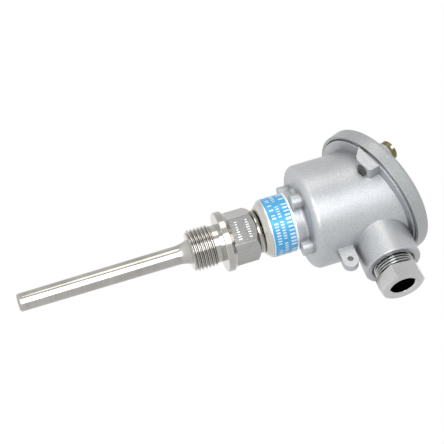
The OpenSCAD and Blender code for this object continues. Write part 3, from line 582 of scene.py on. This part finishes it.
# rings from the tip up the outside, over the nipple's end and down the bore, as radius and height in mm
def thermowellRows(s):
    angles = math.radians(s["hexTurn"]) + spread(0, 2 * math.pi, s["around"] + 1)[:-1]
    flat = np.ones_like(angles)
    rows = []

    def ring(radius, height):
        rows.append((radius * flat, height * flat))

    for degrees in spread(-90, 0, 9)[1:]:          # rounded tip
        turn = math.radians(degrees)
        ring(s["tipRadius"] - s["tipRound"] * (1 - math.cos(turn)),
             s["tip"] + s["tipRound"] * (1 + math.sin(turn)))
    rise = s["flareEnd"] - s["rootRadius"]
    flareStart = s["threadStart"] - math.sqrt(s["flareRadius"] ** 2 - (s["flareRadius"] - rise) ** 2)
    stem = spread(s["tip"] + s["tipRound"], flareStart, 40)[1:]
    share = (stem - stem[0]) / (stem[-1] - stem[0])
    for height, radius in zip(stem, s["tipRadius"] + (s["rootRadius"] - s["tipRadius"]) * share):
        ring(radius, height)
    for height in spread(flareStart, s["threadStart"], 14)[1:]:
        drop = math.sqrt(s["flareRadius"] ** 2 - (height - flareStart) ** 2)
        ring(s["rootRadius"] + s["flareRadius"] - drop, height)
    # thread: the helix, held inside its two end chamfers
    undercutStart = s["undercutTop"] - (s["threadRadius"] - s["undercut"])
    for height in spread(s["threadStart"], s["undercutTop"], 140):
        wave = threadRadius(height, angles, s["threadRadius"], s["threadPitch"], s["threadDepth"])
        limit = min(s["threadRadius"] - s["chamfer"] + height - s["threadStart"],
                    s["undercut"] + max(0.0, s["undercutTop"] - height))
        rows.append((np.minimum(wave, limit), height * flat))
    ring(s["undercut"], 0.0)
    ring(s["collarRadius"] - s["collarEdge"], 0.0)
    ring(s["collarRadius"], s["collarEdge"])
    ring(s["collarRadius"], s["collarRim"])
    # cone up to the hexagon, which meets it lower at the corners
    side = hexRadius(angles, s["hexFlats"], math.radians(s["hexTurn"]))
    slope = (s["coneTop"] - s["collarRim"]) / (s["collarRadius"] - s["coneRadius"])
    meet = np.minimum(s["coneTop"], s["collarRim"] + (s["collarRadius"] - side) * slope)
    rows.append((np.maximum(s["coneRadius"], side), meet))
    rows.append((side, meet))
    chamferSlope = s["hexChamfer"] / (s["hexFlats"] / math.sqrt(3) - s["hexEndRadius"])
    top = s["hexEnd"] - (side - s["hexEndRadius"]) * chamferSlope
    for share in (0.3, 0.7, 1.0):
        rows.append((side, meet + (top - meet) * share))
    ring(s["hexEndRadius"], s["hexEnd"])
    ring(s["nipple"] - s["nippleGroove"], s["hexEnd"])
    ring(s["nipple"] - s["nippleGroove"], s["hexEnd"] + s["grooveWidth"])
    ring(s["nipple"], s["hexEnd"] + s["grooveWidth"])
    for height in spread(s["nippleThread"], s["nippleEnd"], 96):
        wave = threadRadius(height, angles, s["nipple"], s["nipplePitch"], s["nippleDepth"])
        limit = s["nipple"] - s["nippleChamfer"] + s["nippleEnd"] - height
        rows.append((np.minimum(wave, limit), height * flat))
    ring(s["bore"] + s["leadIn"], s["nippleEnd"])
    ring(s["bore"], s["nippleEnd"] - s["leadIn"])
    for height in spread(s["nippleEnd"] - s["leadIn"], s["boreBottom"], 12)[1:]:
        ring(s["bore"], height)
    radii, heights = (np.array(part) * mm for part in zip(*rows))
    return radii, heights, angles


def buildThermowell(s):
    radii, heights, angles = thermowellRows(s)
    well = makePiece("thermowell_turned", [latheSkin(radii, heights, angles)])
    smoothByAngle(well, s["smooth"])
    well.data.materials.append(looks["turnedSteel"])
    well.data.materials.append(looks["stampedFlats"])
    # the hexagon's six flats get the milled finish: normals square to the axis, between cone and chamfer
    normals, centres = facePlaces(well.data)
    onHex = (centres[:, 2] > s["collarRim"] * mm) & (centres[:, 2] < s["hexEnd"] * mm)
    onHex &= np.abs(normals[:, 2]) < 0.02
    onHex &= np.hypot(centres[:, 0], centres[:, 1]) > s["flatOutside"] * mm
    well.data.polygons.foreach_set("material_index", onHex.astype(np.int32))
    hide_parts("thermowell")
    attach(well, "probe")


stampLook = {
    "faceAngle": 287.0,     # direction that the stamped flat faces, degrees
    "rows": [(8.3 * mm, 2.0 * mm), (13.6 * mm, 2.0 * mm)],     # height of each row's middle, and its height
    "pitch": 1.25 * mm, "reach": 4.8 * mm, "stroke": 0.42 * mm,
    "inside": 11.5 * mm,    # the pattern starts just under the flat's 12 mm
    "rowSeed": 31.0,        # sets each row's chances apart
    # a stroke reaches a fifth of the row's height each way from its middle, and up to a third more
    "shortest": 5, "longer": 3,
    "paler": 0.8, "punched": (0.92, 0.92, 0.93, 1), "rougher": 0.35, "bump": 0.6, "bumpDepth": 0.08 * mm,
}


# Milled flats with two rows of plain punched strokes on one of them. The pattern is drawn across that
# flat: place along it in cells of one pitch, each with one upright stroke of a random height.
def stampedFinish(stamp, look):
    material = metalFinish("stampedFlats", look)
    tree = material.node_tree
    shader = tree.nodes["Principled BSDF"]
    place = addNode(tree, "ShaderNodeTexCoord").outputs["Object"]
    rotation = (0, 0, -math.radians(stamp["faceAngle"]))
    turned = addNode(tree, "ShaderNodeMapping", {"Vector": place, "Rotation": rotation}).outputs[0]
    parts = addNode(tree, "ShaderNodeSeparateXYZ", {0: turned}).outputs
    facing = doMath(tree, "GREATER_THAN", parts["X"], stamp["inside"])
    reach = doMath(tree, "LESS_THAN", doMath(tree, "ABSOLUTE", parts["Y"]), stamp["reach"])
    marks = None
    for index, (level, height) in enumerate(stamp["rows"]):
        rise = doMath(tree, "ABSOLUTE", doMath(tree, "SUBTRACT", parts["Z"], level))
        cell = doMath(tree, "DIVIDE", parts["Y"], stamp["pitch"])
        chance = cellChance(tree, cell, stamp["rowSeed"] * index)
        across = doMath(tree, "ABSOLUTE", doMath(tree, "SUBTRACT", doMath(tree, "FRACT", cell), 0.5))
        half = doMath(tree, "MULTIPLY_ADD", chance, height / stamp["longer"], height / stamp["shortest"])
        tall = doMath(tree, "LESS_THAN", rise, half)
        thin = doMath(tree, "LESS_THAN", across, stamp["stroke"] / stamp["pitch"] / 2)
        mark = doMath(tree, "MULTIPLY", tall, thin)
        marks = mark if marks is None else doMath(tree, "MAXIMUM", marks, mark)
    marks = doMath(tree, "MULTIPLY", marks, doMath(tree, "MULTIPLY", facing, reach))
    oldColor = shader.inputs["Base Color"].links[0].from_socket
    oldNormal = shader.inputs["Normal"].links[0].from_socket
    color = mixColors(tree, doMath(tree, "MULTIPLY", marks, stamp["paler"]), oldColor, stamp["punched"])
    rough = shader.inputs["Roughness"].links[0].from_socket
    rough = doMath(tree, "MULTIPLY_ADD", marks, stamp["rougher"], rough)
    bump = addBump(tree, marks, stamp["bump"], stamp["bumpDepth"], normal=oldNormal, invert=True)
    tree.links.new(color, shader.inputs["Base Color"])
    tree.links.new(rough, shader.inputs["Roughness"])
    tree.links.new(bump, shader.inputs["Normal"])
    return material


looks["stampedFlats"] = stampedFinish(stampLook, finishes["milledSteel"])
buildThermowell(thermowellSetup)
print("thermowell turned")

glandSetup = {
    "height": 74.8, "tip": 32.8, "lead": 1.0, "radius": 10.0, "pitch": 1.5, "depth": 0.90,
    "hexStart": 45.5, "end": 52.8, "hexFlats": 21.0, "hexTurn": 52.0, "hexChamfer": 1.5, "faceRadius": 10.2,
    "bore": 6.2, "mouth": 0.7, "runOut": 0.6,       # the thread fades before the hexagon
    "around": 240, "smooth": 24,
}


# rings from the thread's end up the outside, over the hexagon's face and back through the bore
def glandRows(s):
    angles = math.radians(s["hexTurn"]) + spread(0, 2 * math.pi, s["around"] + 1)[:-1]
    flat = np.ones_like(angles)
    rows = []

    def ring(radius, height):
        rows.append((radius * flat, height * flat))

    ring(s["bore"], s["tip"])
    for height in spread(s["tip"], s["hexStart"], 170):
        wave = threadRadius(height, angles, s["radius"], s["pitch"], s["depth"])
        limit = min(s["radius"] - s["lead"] + height - s["tip"],
                    s["radius"] - s["depth"] + max(0.0, (s["hexStart"] - s["runOut"] - height) * 2))
        rows.append((np.minimum(wave, limit), height * flat))
    side = hexRadius(angles, s["hexFlats"], math.radians(s["hexTurn"]))
    rows.append((side, s["hexStart"] * flat))
    slope = s["hexChamfer"] / (s["hexFlats"] / math.sqrt(3) - s["faceRadius"])
    top = s["end"] - (side - s["faceRadius"]) * slope
    for share in (0.5, 1.0):
        rows.append((side, s["hexStart"] + (top - s["hexStart"]) * share))
    ring(s["faceRadius"], s["end"])
    ring(s["bore"] + s["mouth"], s["end"])
    ring(s["bore"], s["end"] - s["mouth"])
    for height in spread(s["end"] - s["mouth"], s["tip"], 10)[1:]:
        ring(s["bore"], height)
    radii, heights = (np.array(part) * mm for part in zip(*rows))
    return radii, heights, angles


# from the gland's own axis to the entry's: its z runs along +X, and its x points down
def alongEntry(points):
    return np.stack([points[:, 2], points[:, 1], glandSetup["height"] * mm - points[:, 0]], axis=-1)


def buildGland(s):
    radii, heights, angles = glandRows(s)
    skin = latheSkin(radii, heights, angles, caps=(False, False))
    gland = makePiece("gland_screw_threaded", [skin], alongEntry)
    smoothByAngle(gland, s["smooth"])
    gland.data.materials.append(looks["nickelPlate"])
    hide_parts("gland_screw")
    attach(gland, "gland_screw")


buildGland(glandSetup)
print("gland threaded")

lidScrewSetup = {
    "jointHeight": 79.3, "slant": 21.5, "shift": -1.4, "across": 28.6, "seat": 8.4,    # where the head sits
    "headRadius": 5.0, "headHeight": 3.5, "headEdge": 0.6,
    "slotWidth": 1.7, "slotDepth": 1.9, "slotTurn": 111.0,
    "lastSection": 88.5, "sections": 26,      # degrees from the middle to the end sections, and their number
    "radius": 2.96, "length": 16.2, "pitch": 1.0, "depth": 0.55, "tip": 0.75,
    "intoHead": 0.3, "around": 96, "along": 150, "smooth": 28,
}


# A cheese head cut by a slot, as sections side by side across the slot: at distance y from the middle
# the half width is the root of the radius squared less y squared, and the section's top drops to the
# slot's bottom between its walls and slopes down over the head's edge.
def slottedHead(s):
    radius = s["headRadius"]
    half = s["slotWidth"] / 2
    away = np.sin(spread(math.asin(half / radius), math.radians(s["lastSection"]), s["sections"])) * radius
    y = np.concatenate([-away[::-1], [-half, half], away])
    inSlot = np.zeros(len(y), dtype=bool)
    inSlot[len(away):len(away) + 2] = True
    width = np.sqrt(np.maximum(radius ** 2 - y ** 2, 0))
    flatWidth = np.sqrt(np.maximum((radius - s["headEdge"]) ** 2 - y ** 2, 0))
    top = s["headHeight"] - np.maximum(0, np.abs(y) - (radius - s["headEdge"]))
    shoulder = np.full(len(y), s["headHeight"] - s["headEdge"])
    bottom = s["headHeight"] - s["slotDepth"]
    top[inSlot] = bottom
    shoulder[inSlot] = bottom
    flatWidth[inSlot] = width[inSlot]
    x = np.stack([-width, -width, -flatWidth, flatWidth, width, width], axis=-1)
    z = np.stack([0 * y, shoulder, top, top, shoulder, 0 * y], axis=-1)
    section = np.stack([x, np.repeat(y[:, None], 6, axis=1), z], axis=-1)
    turn = math.radians(s["slotTurn"])
    cos, sin = math.cos(turn), math.sin(turn)
    spin = np.array([[cos, sin, 0], [-sin, cos, 0], [0, 0, 1]])
    return gridSkin(section @ spin)


# the threaded shank below the head, chamfered at its end
def shankSkin(s):
    angles = spread(0, 2 * math.pi, s["around"] + 1)[:-1]
    heights = spread(-s["length"], s["intoHead"], s["along"])[:, None] + 0 * angles
    wave = threadRadius(heights, angles, s["radius"], s["pitch"], s["depth"])
    limit = s["radius"] - s["tip"] + heights + s["length"]
    return latheSkin(np.minimum(wave, limit), heights, angles)


# side is -1 or 1 across the lid; the head's seat is carried up the slant as the lid is
def buildLidScrew(s, name, side):
    tilt = math.radians(s["slant"])

    def ontoLid(points):
        x, y, z = points.T + np.array([[s["shift"]], [side * s["across"]], [s["seat"]]])
        rise = x * math.sin(tilt) + z * math.cos(tilt) + s["jointHeight"]
        return np.stack([x * math.cos(tilt) - z * math.sin(tilt), y, rise], axis=-1) * mm

    head = slottedHead(s)
    screw = makePiece(name + "_slotted", [head, shankSkin(s)], ontoLid)
    smoothByAngle(screw, s["smooth"])
    screw.data.materials.append(looks["dullBrass"])
    screw.data.materials.append(looks["darkSteel"])
    inShank = np.arange(len(screw.data.polygons)) >= len(head[1])
    screw.data.polygons.foreach_set("material_index", inShank.astype(np.int32))
    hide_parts(name)
    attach(screw, name)


buildLidScrew(lidScrewSetup, "lid_screw_front", -1)
buildLidScrew(lidScrewSetup, "lid_screw_back", 1)
print("lid screws threaded")

springSetup = {
    "across": 16.5, "low": 50.5, "length": 13.7, "diameter": 6.0, "wire": 0.9, "turns": 8,
    "squashed": 0.562,        # share of the length left when the insert is up
    "steps": 34, "sides": 12, "smooth": 60,
}


# A closed coil: the middle of the wire rises one wire a turn in the end turns and evenly between them,
# and a ring of the wire's radius is carried along it.
def coilSkin(s, side):
    turn = spread(0, s["turns"], s["turns"] * s["steps"] + 1)
    inner = s["length"] - 3 * s["wire"]
    rise = np.interp(turn, [0, 1, s["turns"] - 1, s["turns"]],
                     [0, s["wire"], s["wire"] + inner, s["length"] - s["wire"]]) + s["wire"] / 2
    around = spread(0, 2 * math.pi, s["sides"] + 1)[:-1]
    reach = s["diameter"] / 2 + s["wire"] / 2 * np.cos(around)[None, :]
    angle = 2 * math.pi * turn[:, None]
    height = s["low"] + rise[:, None] - s["wire"] / 2 * np.sin(around)[None, :]
    x = reach * np.cos(angle)
    y = side * s["across"] + reach * np.sin(angle)
    return gridSkin(np.stack([x, y, height], axis=-1))


def buildSprings(s):
    skins = [coilSkin(s, -1), coilSkin(s, 1)]
    springs = makePiece("insert_springs_coiled", skins, lambda points: points * mm)
    smoothByAngle(springs, s["smooth"])
    springs.data.materials.append(looks["springSteel"])
    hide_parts("insert_springs")
    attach(springs, "probe")
    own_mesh(springs)


buildSprings(springSetup)
print("springs coiled")
